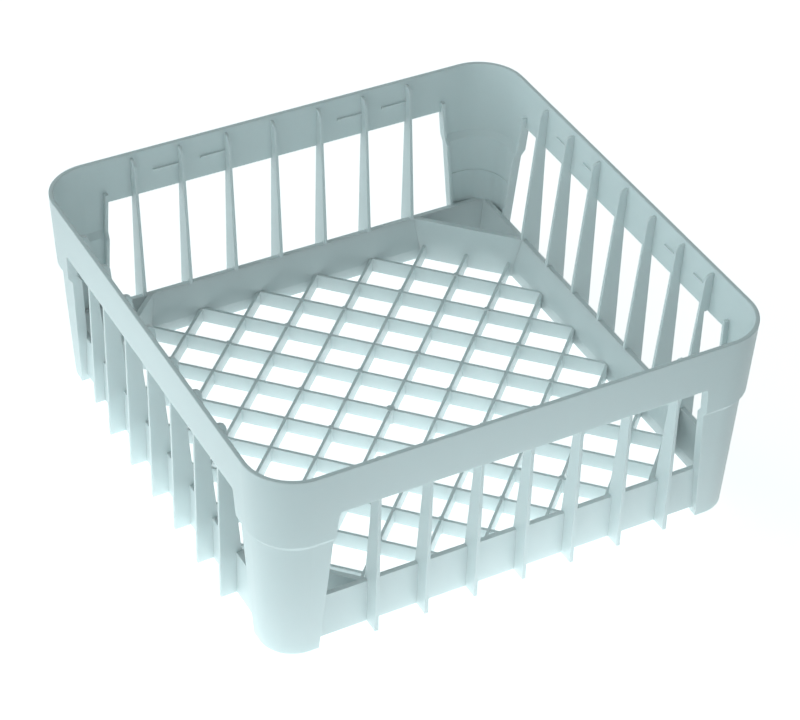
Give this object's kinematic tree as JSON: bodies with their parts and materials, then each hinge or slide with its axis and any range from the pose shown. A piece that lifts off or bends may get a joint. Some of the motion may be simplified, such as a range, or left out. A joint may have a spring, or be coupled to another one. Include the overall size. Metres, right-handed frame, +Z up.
{
  "type": "dishwasher glass rack",
  "caption": "Square open basket moulded in one piece, with a deep rim band, corner posts, upright fins and a diagonal grid floor, for washing glasses.",
  "frame": {"origin": "middle of the square that the four feet stand on", "axes": "+Z up from the feet to the open rim, X along the front wall, -Y out of the front wall"},
  "size_m": [0.35, 0.35, 0.146],
  "materials": {
    "rack_plastic": "moulded polypropylene, satin"
  },
  "bodies": {
    "root": {"glass_rack": "rack_plastic"}
  },
  "joints": []
}
